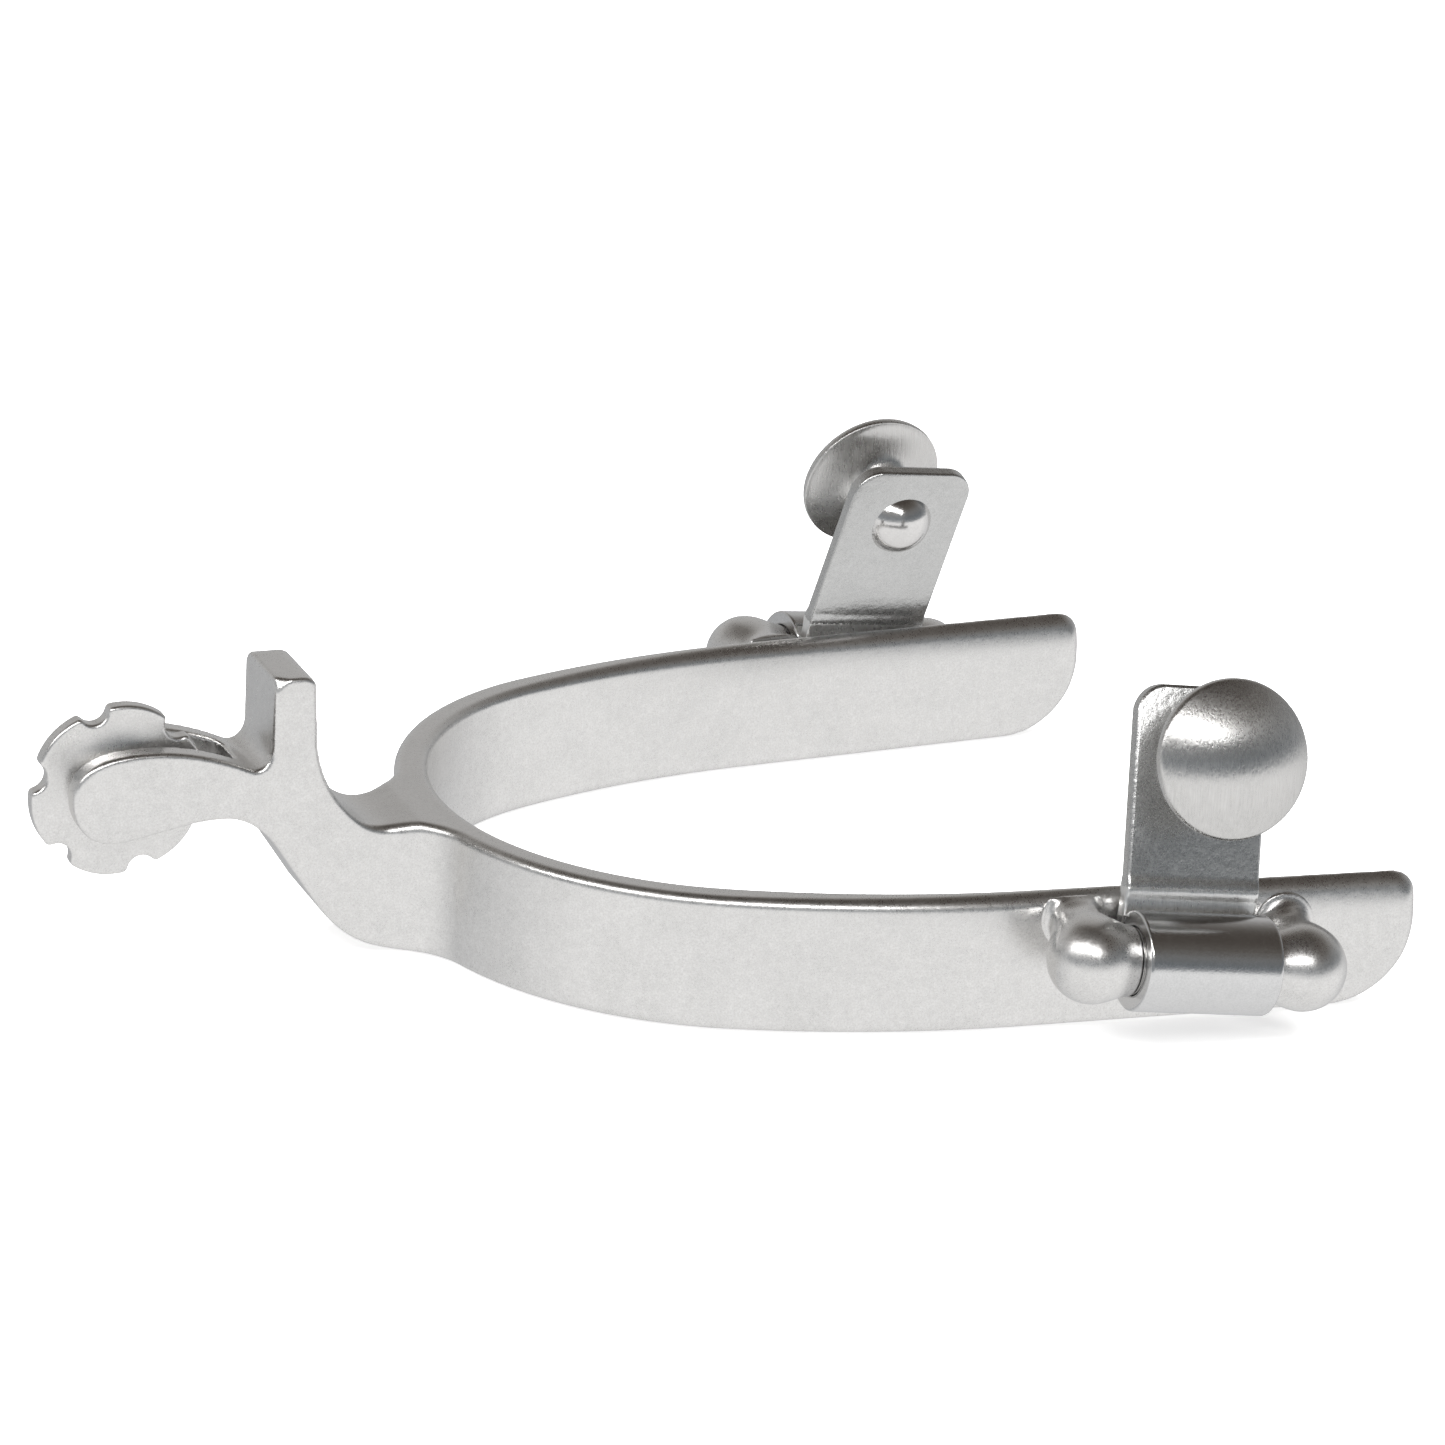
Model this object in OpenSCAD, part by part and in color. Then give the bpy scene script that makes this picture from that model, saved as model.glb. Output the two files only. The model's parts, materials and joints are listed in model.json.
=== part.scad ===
// Western riding spur: a forged heel band with a rowel on its shank, and a hinged
// hanger with a strap button on each arm.
// Millimetres. +X points from the heel to the toe, +Y to the left, +Z up.
// The origin is the centre of the inner heel arc, at the middle of the band's height.

/* [Heel band] */
// Inner radius of the band round the heel
heel_r = 36.7; // [34:0.1:40]
// Half of the angle that the heel arc covers
heel_span = 68.75; // [60:0.25:72]
// Inner radius of the gentle arc at each side of the heel
side_r = 111.5; // [90:0.5:130]
// Angle that each side arc covers
side_span = 17.2; // [10:0.1:20]
// Distance of the arm tips in front of the heel centre
arm_reach = 67.7; // [55:0.1:75]
// Height of the band
band_h = 16.4; // [14:0.1:20]
// Thickness of the band
band_t = 4.15; // [3.5:0.05:5]
// Rounding of the band's long edges
band_round = 1.2; // [0.5:0.1:1.6]
// Rounding of an arm tip's upper corner
tip_top_r = 3; // [2:0.5:5]
// Rounding of an arm tip's lower corner
tip_low_r = 10.5; // [9:0.5:12.5]

/* [Shank and fork] */
// Distance of the rowel's axle behind the heel centre
shank_reach = 77.1; // [74:0.1:80]
// Height of the rowel's axle above the middle of the band
shank_rise = 13; // [11:0.1:15]
// Width of the shank across both prongs
shank_w = 11.8; // [11:0.1:14]
// Width of the rowel's slot
slot_w = 6; // [5.6:0.1:6.4]
// Distance of the slot's root in front of the axle
slot_depth = 13.3; // [12:0.1:13.8]
// Radius of the fillet where the shank meets the band
neck_fillet_r = 6.2; // [3:0.1:8]

/* [Chap guard] */
// Height of the guard's top above the middle of the band
guard_top = 27; // [24:0.5:30]
// Distance of the guard's rear face behind the heel centre
guard_reach = 60.15; // [59:0.05:61]
// Thickness of the guard at its top
guard_t = 5.1; // [4:0.05:5.2]
// Rounding of the guard's left top corner
guard_round = 2.1; // [0.5:0.1:3]

/* [Rowel] */
// Number of lobes
rowel_lobes = 6; // [5:1:8]
// Radius at the lobes' tips
rowel_r = 10.4; // [9.5:0.05:11]
// Radius of a lobe's own curve
lobe_r = 8.3; // [8:0.1:9]
// Radius of the round notches between the lobes
notch_r = 1.7; // [1:0.1:2]
// Distance of a notch's floor from the axle
notch_floor = 8.75; // [8.3:0.05:9]
// Angle of the first lobe above the forward direction
rowel_turn = 17; // [0:1:60]
// Thickness at the rim
rim_t = 2.2; // [1.6:0.1:3]
// Thickness at the hub
hub_t = 5.8; // [4:0.1:5.8]
// Radius of the hub's flat
hub_r = 2.6; // [2.3:0.1:4]
// Radius at which the dish reaches the rim's thickness
dish_r = 9.2; // [7:0.1:9.4]
// Radius of the rowel's pin
axle_r = 1.6; // [1.2:0.1:2]

/* [Hangers] */
// Distance of the hinge in front of the heel centre
hinge_x = 36.3; // [30:0.05:42]
// Distance of the hinge pin's axis from the band's outer face
hinge_gap = 6.95; // [6.5:0.05:8]
// Height of the hinge above the middle of the band
hinge_z = 1.65; // [0:0.05:3]
// Angle that the hinge pin drops by towards the toe
hinge_pitch = 6.2; // [0:0.1:12]
// Width of the hanger
hanger_w = 16.7; // [16:0.1:17]
// Height of the hanger's top edge above the pin's axis
hanger_h = 31.8; // [28:0.1:36]
// Thickness of the hanger's sheet
sheet_t = 1.8; // [1.5:0.1:2]
// Distance of the plate's outer face behind the pin's axis
plate_offset = 2.5; // [2:0.1:2.5]
// Height of the bend above the pin's axis
bend_z = 8.4; // [7:0.1:9]
// Rounding of the plate's top corners
plate_corner_r = 3.5; // [2:0.5:5]
// Inward lean of the hangers
hanger_lean = 17.5; // [0:0.1:20]

/* [Hinge pins and lugs] */
// Radius of the hinge pin inside the rolled eye
pin_r = 3.95; // [3:0.05:4]
// Radius of the pin's ends inside the lugs
spigot_r = 2; // [1.5:0.1:2.5]
// Radius of a lug's ball
ball_r = 5.15; // [4.9:0.05:5.5]
// Distance of a ball's centre from the middle of the hinge
ball_x = 13.3; // [13:0.05:13.4]
// Radius of the collar between a ball and the hanger
collar_r = 4.1; // [3.5:0.1:4.5]
// Radius of the lug's neck
neck_r = 3; // [2:0.1:3.4]
// Rise of the lug's neck on its way to the band
neck_rise = 2.3; // [0:0.1:3]

/* [Buttons and rivets] */
// Height of the button's axis above the hinge pin's axis
button_z = 23.8; // [22:0.1:25]
// Radius of the button's head
head_r = 9.3; // [8:0.1:10]
// Height of the head's rim above the plate
head_z = 8; // [7.5:0.1:10]
// Thickness of the head's rim
head_rim = 1; // [0.6:0.1:1.5]
// Height of the dome above the rim
dome_z = 3.3; // [2.5:0.1:4.5]
// Radius of the button's neck
button_neck_r = 3.4; // [3:0.1:4]
// Radius of the button's foot on the plate
foot_r = 4.6; // [4:0.1:5.5]
// Radius of the rivet's shank
rivet_r = 2; // [1.5:0.1:2.2]
// Radius of the rivet's head
rivet_head_r = 4.1; // [3.5:0.1:4.5]
// Height of the rivet's head
rivet_head_z = 2.6; // [1.2:0.1:3]

/* [Hidden] */

$fn = 64;
// Running clearance round a pin
run = 0.05;
// Extra length that takes a cut past a face
past = 1;

// Outward flare of the straight stretch of each arm
flare = 90 - heel_span - side_span;
outer_r = heel_r + band_t;
half_h = band_h / 2;
// Centre of the left side arc, on the line through the end of the heel arc
side_c = (side_r - heel_r) * [cos(heel_span), -sin(heel_span)];
// Start of the left arm's straight stretch, on its inner face
arm_start = side_c + side_r * [-cos(heel_span + side_span), sin(heel_span + side_span)];
arm_len = (arm_reach - arm_start[0]) / cos(flare);

half_w = shank_w / 2;
axle_x = -shank_reach;
// The plans of the shank and its slot start behind the prongs' round ends
plan_start_x = axle_x - 10;
slot_root = axle_x + slot_depth;
slot_corner_r = 1;
// The neck's fillets touch its sides and the band's outer face
fillet_y = half_w + neck_fillet_r;
fillet_x = -sqrt(pow(outer_r + neck_fillet_r, 2) - pow(fillet_y, 2));
fillet_end_y = fillet_y * outer_r / (outer_r + neck_fillet_r);
// The shank's solid ends inside the band's wall
shank_end_r = heel_r + band_t / 2;

eye_r = pin_r + run;
eye_outer_r = eye_r + sheet_t;
eye_mid_r = eye_r + sheet_t / 2;
plate_mid_y = -plate_offset - sheet_t / 2;
// The strip between the bend and the eye is tangent to the eye's middle circle
bend_dist = norm([plate_mid_y, bend_z]);
strip_len = sqrt(pow(bend_dist, 2) - pow(eye_mid_r, 2));
strip_turn = asin(eye_mid_r / bend_dist) - atan(-plate_mid_y / bend_z);
// The sheet's free end stops just short of the strip
lip_angle = 114;
lug_face_x = hanger_w / 2 + 0.15;
spigot_end_x = ball_x + 0.5;
// Distance of the hinge along the left arm's straight stretch
hinge_arm_s = (hinge_x - arm_start[0] + (band_t + hinge_gap) * sin(flare)) / cos(flare);

steel = [0.80, 0.80, 0.79];
polished = [0.86, 0.86, 0.85];
plate_steel = [0.68, 0.68, 0.67];

// Points of a cubic curve from a to d, without d
function curve(a, b, c, d, n = 12) = [
    for (i = [0 : n - 1])
        let (t = i / n, u = 1 - t)
            u * u * u * a + 3 * u * u * t * b + 3 * u * t * t * c + t * t * t * d
];

// Side view of the shank, fork and guard, in X and Z
function shank_profile() =
    let (
        x = axle_x,
        z = shank_rise,
        guard_x = -guard_reach,
        front_x = guard_x + guard_t,
        valley = [x + 14.2, z + 3.2],
        crown = [x + 2.1, z + 6],
        nose = [x - 6.7, z + 0.8],
        chin = [x - 1.9, z - 4.7],
        armpit = [x + 11.1, z - 2.8],
        drop_top = [x + 17.8, z - 6.9],
        drop_low = [x + 22.9, -1.5],
        band_low = [-outer_r - 1.65, -half_h],
        band_top = [-outer_r - 1.15, half_h],
        saddle = [front_x + 5.7, half_h + 0.5],
        guard_low = [front_x + 0.3, half_h + 11]
    )
    concat(
        curve([guard_x + 0.05, z + 5.5], [guard_x + 0.05, z + 3.9], valley + [1.6, -0.75], valley),
        curve(valley, valley + [-2.6, 1.2], crown + [5, 0.05], crown),
        curve(crown, crown + [-4.8, 0.05], nose + [-0.05, 4.1], nose),
        curve(nose, nose + [0, -3], chin + [-2.8, 0], chin),
        curve(chin, chin + [3.5, 0], armpit + [-5, 0], armpit),
        curve(armpit, armpit + [3, 0], drop_top + [-1.4, 2.1], drop_top),
        curve(drop_low, drop_low + [2.9, -4], band_low + [-5, 0], band_low),
        [band_low, [-heel_r, -half_h], [-heel_r, half_h]],
        curve(band_top, band_top + [-3, -0.55], saddle + [2.3, -1.7], saddle),
        curve(saddle, saddle + [-2.5, 1.9], guard_low + [0.3, -5.2], guard_low),
        curve([front_x, guard_top - 1.8], [front_x, guard_top - 0.7], [front_x - 0.7, guard_top],
              [front_x - 1.8, guard_top]),
        [[front_x - 1.8, guard_top], [guard_x, guard_top]]
    );

// Rectangle with round corners, made of squares and circles
module round_rect(size, r) {
    translate([r, 0]) square([size[0] - 2 * r, size[1]]);
    translate([0, r]) square([size[0], size[1] - 2 * r]);
    for (x = [r, size[0] - r], y = [r, size[1] - r])
        translate([x, y]) circle(r = r);
}

// Section of the band: X is outward from its inner face, Y is height
module band_section() {
    translate([0, -half_h]) round_rect([band_t, band_h], band_round);
}

// Side view of an arm's straight stretch, with its tip's two corners rounded
module arm_outline() {
    translate([0, -half_h + tip_low_r]) square([arm_len, band_h - tip_low_r - tip_top_r]);
    translate([0, -half_h]) square([arm_len - tip_low_r, band_h]);
    translate([0, half_h - tip_top_r]) square([arm_len - tip_top_r, tip_top_r]);
    translate([arm_len - tip_low_r, -half_h + tip_low_r]) circle(r = tip_low_r, $fn = 96);
    translate([arm_len - tip_top_r, half_h - tip_top_r]) circle(r = tip_top_r);
}

// A short core that crosses the plane where two stretches of the band meet, and fuses them
module joint_core() {
    inset = 0.5;
    reach = 1;
    translate([-reach, inset, inset - half_h])
        cube([2 * reach, band_t - 2 * inset, band_h - 2 * inset]);
}

// Places children in the left arm's frame: X along its inner face, Y outward
module on_left_arm() {
    translate([arm_start[0], arm_start[1], 0]) rotate([0, 0, flare]) children();
}

module left_arm() {
    on_left_arm() joint_core();
    rotate([0, 0, 90 - heel_span]) translate([0, heel_r, 0]) joint_core();
    translate([side_c[0], side_c[1], 0])
        rotate([0, 0, 180 - heel_span - side_span])
            rotate_extrude(angle = side_span, $fn = 360) translate([side_r, 0]) band_section();
    on_left_arm() intersection() {
        rotate([90, 0, 90]) linear_extrude(arm_len) band_section();
        translate([0, band_t + past, 0])
            rotate([90, 0, 0]) linear_extrude(band_t + 2 * past) arm_outline();
    }
}

module heel_arc() {
    rotate([0, 0, 180 - heel_span])
        rotate_extrude(angle = 2 * heel_span, $fn = 180) translate([heel_r, 0]) band_section();
}

// Plan of the shank, widened by the fillets where it meets the band
module shank_plan() {
    difference() {
        union() {
            translate([plan_start_x, -half_w]) square([-heel_r - plan_start_x, shank_w]);
            translate([fillet_x, -fillet_end_y]) square([-heel_r - fillet_x, 2 * fillet_end_y]);
        }
        for (side = [-1, 1])
            translate([fillet_x, side * fillet_y]) circle(r = neck_fillet_r);
        circle(r = shank_end_r, $fn = 180);
    }
}

// Plan of the rowel's slot, with two small corner rounds at its root
module slot_plan() {
    half_slot = slot_w / 2;
    front_x = slot_root - slot_corner_r;
    translate([plan_start_x, -half_slot]) square([front_x - plan_start_x, slot_w]);
    translate([front_x - past, -half_slot + slot_corner_r])
        square([slot_corner_r + past, slot_w - 2 * slot_corner_r]);
    for (side = [-1, 1])
        translate([front_x, side * (half_slot - slot_corner_r)]) circle(r = slot_corner_r);
}

// Rear view of the shank and guard: wide below, with the guard's left top corner rounded
module guard_outline() {
    round_z = guard_top - guard_round;
    translate([-fillet_y, -band_h]) square([2 * fillet_y, round_z + band_h]);
    translate([-half_w, -band_h]) square([shank_w - guard_round, guard_top + band_h]);
    translate([half_w - guard_round, round_z]) circle(r = guard_round);
}

// Extrudes a plan through the whole height of the band and the guard
module full_height() {
    translate([0, 0, -band_h]) linear_extrude(3 * band_h) children();
}

module shank() {
    difference() {
        intersection() {
            translate([0, fillet_y, 0])
                rotate([90, 0, 0]) linear_extrude(2 * fillet_y) polygon(shank_profile());
            full_height() shank_plan();
            translate([plan_start_x, 0, 0])
                rotate([90, 0, 90]) linear_extrude(-plan_start_x) guard_outline();
        }
        full_height() slot_plan();
        at_axle() cylinder(r = axle_r, h = shank_w + 2 * past, center = true);
    }
}

// Places children on the rowel's axle, with their Z along it
module at_axle() {
    translate([axle_x, 0, shank_rise]) rotate([90, 0, 0]) children();
}

module heel_band() {
    color(steel) union() {
        heel_arc();
        left_arm();
        mirror([0, 1, 0]) left_arm();
        shank();
    }
}

// Side view of the rowel: round lobes with a round notch between each two
module rowel_outline() {
    pitch = 360 / rowel_lobes;
    difference() {
        for (i = [0 : rowel_lobes - 1])
            rotate(rowel_turn + i * pitch) translate([rowel_r - lobe_r, 0]) circle(r = lobe_r, $fn = 120);
        for (i = [0 : rowel_lobes - 1])
            rotate(rowel_turn + (i + 0.5) * pitch) translate([notch_floor + notch_r, 0]) circle(r = notch_r);
    }
}

// Upper edge of the rowel's section: thick at the hub, and dished in one sweep to the rim
function rowel_edge() =
    let (third = (dish_r - hub_r) / 3, rim = rim_t / 2, hub = hub_t / 2)
    concat(
        [[axle_r + run, hub]],
        curve([hub_r, hub], [hub_r + third, (hub + 2 * rim) / 3], [dish_r - third, rim], [dish_r, rim]),
        [[dish_r, rim], [rowel_r + past, rim]]
    );

module rowel_section() {
    edge = rowel_edge();
    polygon(concat(edge, [for (i = [len(edge) - 1 : -1 : 0]) [edge[i][0], -edge[i][1]]]));
}

module rowel() {
    color(steel) at_axle() intersection() {
        rotate_extrude($fn = 120) rowel_section();
        linear_extrude(hub_t + 2 * past, center = true) rowel_outline();
    }
}

module rowel_pin() {
    color(polished) at_axle() cylinder(r = axle_r, h = shank_w, center = true);
}

// Places children in the left hinge's frame: X along the pin, Y outward
module at_left_hinge() {
    on_left_arm()
        translate([hinge_arm_s, band_t + hinge_gap, hinge_z]) rotate([0, hinge_pitch, 0]) children();
}

module on_side(side) {
    if (side == "left") at_left_hinge() children();
    else mirror([0, 1, 0]) at_left_hinge() children();
}

// A lug: a ball with a collar towards the hanger, and a neck to the band's outer face,
// ground flush with the top of the band
module lug(side, end) {
    neck_out = hinge_gap + band_t / 3;
    neck_tilt = atan(neck_rise / hinge_gap);
    color(steel) difference() {
        on_side(side) difference() {
            translate([end * ball_x, 0, 0]) {
                sphere(r = ball_r);
                rotate([90 - neck_tilt, 0, 0]) cylinder(r = neck_r, h = neck_out / cos(neck_tilt));
                rotate([0, -end * 90, 0]) cylinder(r = collar_r, h = ball_x - lug_face_x + past);
            }
            translate([end * (lug_face_x - ball_r), 0, 0]) cube(2 * ball_r, center = true);
            rotate([0, end * 90, 0]) cylinder(r = spigot_r, h = spigot_end_x);
        }
        translate([0, -arm_reach, half_h]) cube([arm_reach, 2 * arm_reach, band_h]);
    }
}

// The hinge pin: full size inside the eye, with smaller ends pressed into the lugs
module hinge_pin(side) {
    shoulder = lug_face_x - run;
    color(polished) on_side(side) rotate([0, 90, 0]) {
        cylinder(r = pin_r, h = 2 * shoulder, center = true);
        cylinder(r = spigot_r, h = 2 * spigot_end_x, center = true);
    }
}

// Section of the hanger across its hinge: X is outward, Y is up
module hanger_section() {
    // Plate
    translate([-plate_offset - sheet_t, bend_z]) square([sheet_t, hanger_h - bend_z]);
    // Bend and strip
    translate([plate_mid_y, bend_z]) {
        circle(d = sheet_t);
        rotate(-strip_turn) translate([-sheet_t / 2, -strip_len]) square([sheet_t, strip_len]);
    }
    // Core that fuses the strip with the eye
    rotate(180 - strip_turn) translate([eye_mid_r, 0]) circle(d = sheet_t - 0.6);
    // Rolled eye, open between the lip and the strip
    difference() {
        circle(r = eye_outer_r, $fn = 96);
        circle(r = eye_r, $fn = 96);
        polygon([
            [0, 0],
            2 * eye_outer_r * [cos(lip_angle), sin(lip_angle)],
            2 * eye_outer_r * [cos(180 - strip_turn), sin(180 - strip_turn)],
        ]);
    }
}

// Front view of the hanger, with its top corners rounded
module hanger_outline() {
    half = hanger_w / 2;
    translate([-half, -eye_outer_r - past])
        square([hanger_w, hanger_h + eye_outer_r + past - plate_corner_r]);
    translate([-half + plate_corner_r, 0]) square([hanger_w - 2 * plate_corner_r, hanger_h]);
    for (end = [-1, 1])
        translate([end * (half - plate_corner_r), hanger_h - plate_corner_r])
            circle(r = plate_corner_r);
}

// Places children in a hanger's frame, leaning with it
module on_hanger(side) {
    on_side(side) rotate([hanger_lean, 0, 0]) children();
}

module hanger(side) {
    color(plate_steel) on_hanger(side) difference() {
        intersection() {
            rotate([90, 0, 90]) linear_extrude(hanger_w, center = true) hanger_section();
            translate([0, eye_outer_r + past, 0])
                rotate([90, 0, 0]) linear_extrude(2 * (eye_outer_r + past)) hanger_outline();
        }
        translate([0, -plate_offset + past, button_z])
            rotate([90, 0, 0]) cylinder(r = rivet_r, h = sheet_t + 2 * past);
    }
}

// Half section of the button: a foot, a waisted neck and a domed head
module button_half() {
    dome_r = (pow(head_r, 2) + pow(dome_z, 2)) / (2 * dome_z);
    top = head_z + head_rim;
    apex = top + dome_z;
    dome_angle = asin(head_r / dome_r);
    steps = 16;
    difference() {
        polygon(concat(
            [[0, 0], [foot_r, 0]],
            curve([foot_r, 0.6], [foot_r - 0.9, 0.7], [button_neck_r, 1.6], [button_neck_r, 3.4]),
            curve([button_neck_r, 3.4], [button_neck_r, 6.6], [head_r - 3.4, head_z - 1.3], [head_r, head_z]),
            [for (i = [0 : steps])
                let (a = dome_angle * (1 - i / steps))
                    [dome_r * sin(a), apex - dome_r * (1 - cos(a))]]
        ));
        translate([-past, -past]) square([rivet_r + past, foot_r + past]);
    }
}

module button(side) {
    color(steel) on_hanger(side)
        translate([0, -plate_offset, button_z]) rotate([-90, 0, 0])
            rotate_extrude($fn = 96) button_half();
}

// The rivet: a shank through the plate into the button, and a domed head inside
module rivet(side) {
    dome_r = (pow(rivet_head_r, 2) + pow(rivet_head_z, 2)) / (2 * rivet_head_z);
    color(polished) on_hanger(side)
        translate([0, -plate_offset - sheet_t, button_z]) rotate([90, 0, 0]) {
            intersection() {
                translate([0, 0, rivet_head_z - dome_r]) sphere(r = dome_r);
                cylinder(r = rivet_head_r + past, h = rivet_head_z + past);
            }
            translate([0, 0, -sheet_t - foot_r]) cylinder(r = rivet_r, h = sheet_t + foot_r);
        }
}

heel_band();
rowel();
rowel_pin();
lug("right", -1);  // right_rear_lug
lug("right", 1);  // right_front_lug
lug("left", -1);  // left_rear_lug
lug("left", 1);  // left_front_lug
hinge_pin("right");  // right_hinge_pin
hinge_pin("left");  // left_hinge_pin
hanger("right");  // right_hanger
hanger("left");  // left_hanger
button("right");  // right_button
button("left");  // left_button
rivet("right");  // right_rivet
rivet("left");  // left_rivet
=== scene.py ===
import json
import math

import bpy
import numpy as np
import openvdb
from mathutils import Matrix, Vector


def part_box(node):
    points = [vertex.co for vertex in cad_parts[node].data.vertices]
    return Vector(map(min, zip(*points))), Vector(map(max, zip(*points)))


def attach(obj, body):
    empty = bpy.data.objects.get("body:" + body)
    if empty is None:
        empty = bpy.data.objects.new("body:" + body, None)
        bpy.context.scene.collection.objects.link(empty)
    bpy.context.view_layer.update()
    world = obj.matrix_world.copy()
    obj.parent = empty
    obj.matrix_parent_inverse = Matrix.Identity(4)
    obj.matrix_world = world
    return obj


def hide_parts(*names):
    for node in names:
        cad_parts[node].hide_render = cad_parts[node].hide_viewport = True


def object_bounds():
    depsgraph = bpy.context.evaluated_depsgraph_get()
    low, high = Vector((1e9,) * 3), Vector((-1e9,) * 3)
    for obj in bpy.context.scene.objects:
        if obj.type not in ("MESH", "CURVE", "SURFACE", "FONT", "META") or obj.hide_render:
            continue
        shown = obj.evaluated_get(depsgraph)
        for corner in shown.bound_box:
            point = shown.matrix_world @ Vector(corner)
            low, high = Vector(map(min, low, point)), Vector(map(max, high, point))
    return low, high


# A western riding spur. Shapes are in millimetres until they become meshes, which are in metres.
# +X points from the heel to the toe, +Y to the left, +Z up, as in the frame.

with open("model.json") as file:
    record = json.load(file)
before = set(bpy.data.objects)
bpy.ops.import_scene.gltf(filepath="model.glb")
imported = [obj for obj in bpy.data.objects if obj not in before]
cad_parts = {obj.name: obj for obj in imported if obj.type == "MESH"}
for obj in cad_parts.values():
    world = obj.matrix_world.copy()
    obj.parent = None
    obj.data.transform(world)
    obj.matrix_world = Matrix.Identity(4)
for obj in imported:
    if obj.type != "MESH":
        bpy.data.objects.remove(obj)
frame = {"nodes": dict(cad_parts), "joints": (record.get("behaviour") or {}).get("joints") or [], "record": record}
cad_low, cad_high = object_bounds()
scene = bpy.context.scene
MM = 0.001

mounts = {m["name"]: m for m in frame["record"]["mounts"]}
joints = {j["name"]: j for j in frame["joints"]}


# ---------------------------------------------------------------- driving sizes, in millimetres

# Deep inside, for a field that shapes nothing at a place
FAR = 20.0

HEEL_R = mounts["heel_seat"]["dims"]["r_mm"]
HEEL_SPAN = math.radians(68.75)
SIDE_R = 111.5
SIDE_SPAN = math.radians(17.2)
ARM_REACH = 67.7
BAND_H = 16.4
BAND_T = 4.15
BAND_ROUND = 1.2
TIP_TOP_R = 3.0
TIP_LOW_R = 10.5
# Above CROWN_Z the arms' faces fall away with the square of the height, fully only at the tips
CROWN_Z = 3.0
CROWN = 0.05
CROWN_LEAD = 35.0
TIP_ROUND = 2.1
BAND_CELL = 0.35

SHANK_W = 11.8
SLOT_W = 6.0
SLOT_DEPTH = 13.3
SLOT_CORNER_R = 1.0
NECK_FILLET_R = 6.2
SHANK_ROUND = 0.5
SLOT_ROUND = 0.35
# The edges' rounding grows from the shank's to the band's from here on
ROUND_GROWS_X = -52.0
ROUND_GROWS_LEN = 9.0

GUARD_TOP = 27.0
GUARD_REACH = 60.15
GUARD_T = 5.1
GUARD_ROUND = 2.1
# How far the facet reaches forward, inward and down from the guard's corner
FACET = (2.1, 1.37, 1.76)
# The guard's corners are shaped from this height above the band on
GUARD_FOOT_Z = 3.0

ROWEL_LOBES = 6
ROWEL_R = 10.4
LOBE_R = 8.3
NOTCH_R = 1.7
NOTCH_FLOOR = 8.75
NOTCH_LIP_R = 0.5
ROWEL_TURN = math.radians(17)
RIM_T = 2.2
HUB_T = 5.8
HUB_R = 2.6
DISH_R = 9.2
AXLE_R = 1.6
# The pin's holes end under a thin skin, as its ends are ground flush with the prongs
PIN_HOLE_Y = SHANK_W / 2 - 0.5
PIN_END_Y = SHANK_W / 2 - 0.55
RUN = 0.05
RIM_ROUND = 0.4
ROWEL_CELL = 0.16

HANGER_W = 16.7
HANGER_H = 31.8
SHEET_T = 1.8
PLATE_OFFSET = 2.5
BEND_Z = 8.4
STRIP_LOW_Z = 5.0
PLATE_CORNER_R = 3.5
EYE_R = 4.0
LIP_ANGLE = math.radians(114)
SHEET_ROUND = 0.3
BEND_ROUND = 0.8
LEAN = math.radians(17.5)

HINGE_GAP = 6.95
BALL_R = 5.15
BALL_X = 13.3
COLLAR_R = 4.1
COLLAR_WELD_R = 1.0
LUG_FACE_X = HANGER_W / 2 + 0.15
LUG_NECK_R = 3.0
LUG_NECK_RISE = 2.3
NECK_WELD_R = 2.0
FOOT_WELD_R = 0.9
FOOT_SINK = 0.4
LUG_TOP_ROUND = 0.6
LUG_FACE_ROUND = 0.35
HINGE_CELL = 0.16
SPIGOT_R = 2.0
SPIGOT_END_X = BALL_X + 0.5

BUTTON_Z = 23.8
HEAD_R = 9.3
HEAD_Z = 8.0
HEAD_RIM = 1.0
DOME_Z = 3.3
BUTTON_NECK_R = 3.4
FOOT_R = 4.6
RIVET_R = 2.0

# Derived sizes
HALF_H = BAND_H / 2
OUTER_R = HEEL_R + BAND_T
FLARE = math.pi / 2 - HEEL_SPAN - SIDE_SPAN
SIDE_C = (SIDE_R - HEEL_R) * np.array([math.cos(HEEL_SPAN), -math.sin(HEEL_SPAN)])
ARM_START = SIDE_C + SIDE_R * np.array([-math.sin(FLARE), math.cos(FLARE)])
ARM_LEN = (ARM_REACH - ARM_START[0]) / math.cos(FLARE)
ARM_S = HEEL_R * HEEL_SPAN + SIDE_R * SIDE_SPAN
AXLE_X, _, AXLE_Z = (c / MM for c in joints["rowel_spin"]["pos_m"])


# ---------------------------------------------------------------- fields

def both(a, b, r):
    """The part inside both fields, its edge rounded to radius r."""
    inner = np.minimum(np.maximum(a + r, b + r), 0)
    return inner + np.hypot(np.maximum(a + r, 0), np.maximum(b + r, 0)) - r


def either(a, b, r):
    """The part inside either field, with a fillet of radius r where they meet."""
    outer = np.maximum(np.minimum(a - r, b - r), 0)
    return outer - np.hypot(np.maximum(r - a, 0), np.maximum(r - b, 0)) + r


def eased(t):
    """A smooth step from 0 to 1."""
    t = np.clip(t, 0, 1)
    return t * t * (3 - 2 * t)


def curve(a, b, c, d, n=32):
    """Points of a cubic curve from a to d, without d."""
    t = np.linspace(0, 1, n, endpoint=False)[:, None]
    u = 1 - t
    return u**3 * np.array(a) + 3 * u * u * t * np.array(b) + 3 * u * t * t * np.array(c) + t**3 * np.array(d)


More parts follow.
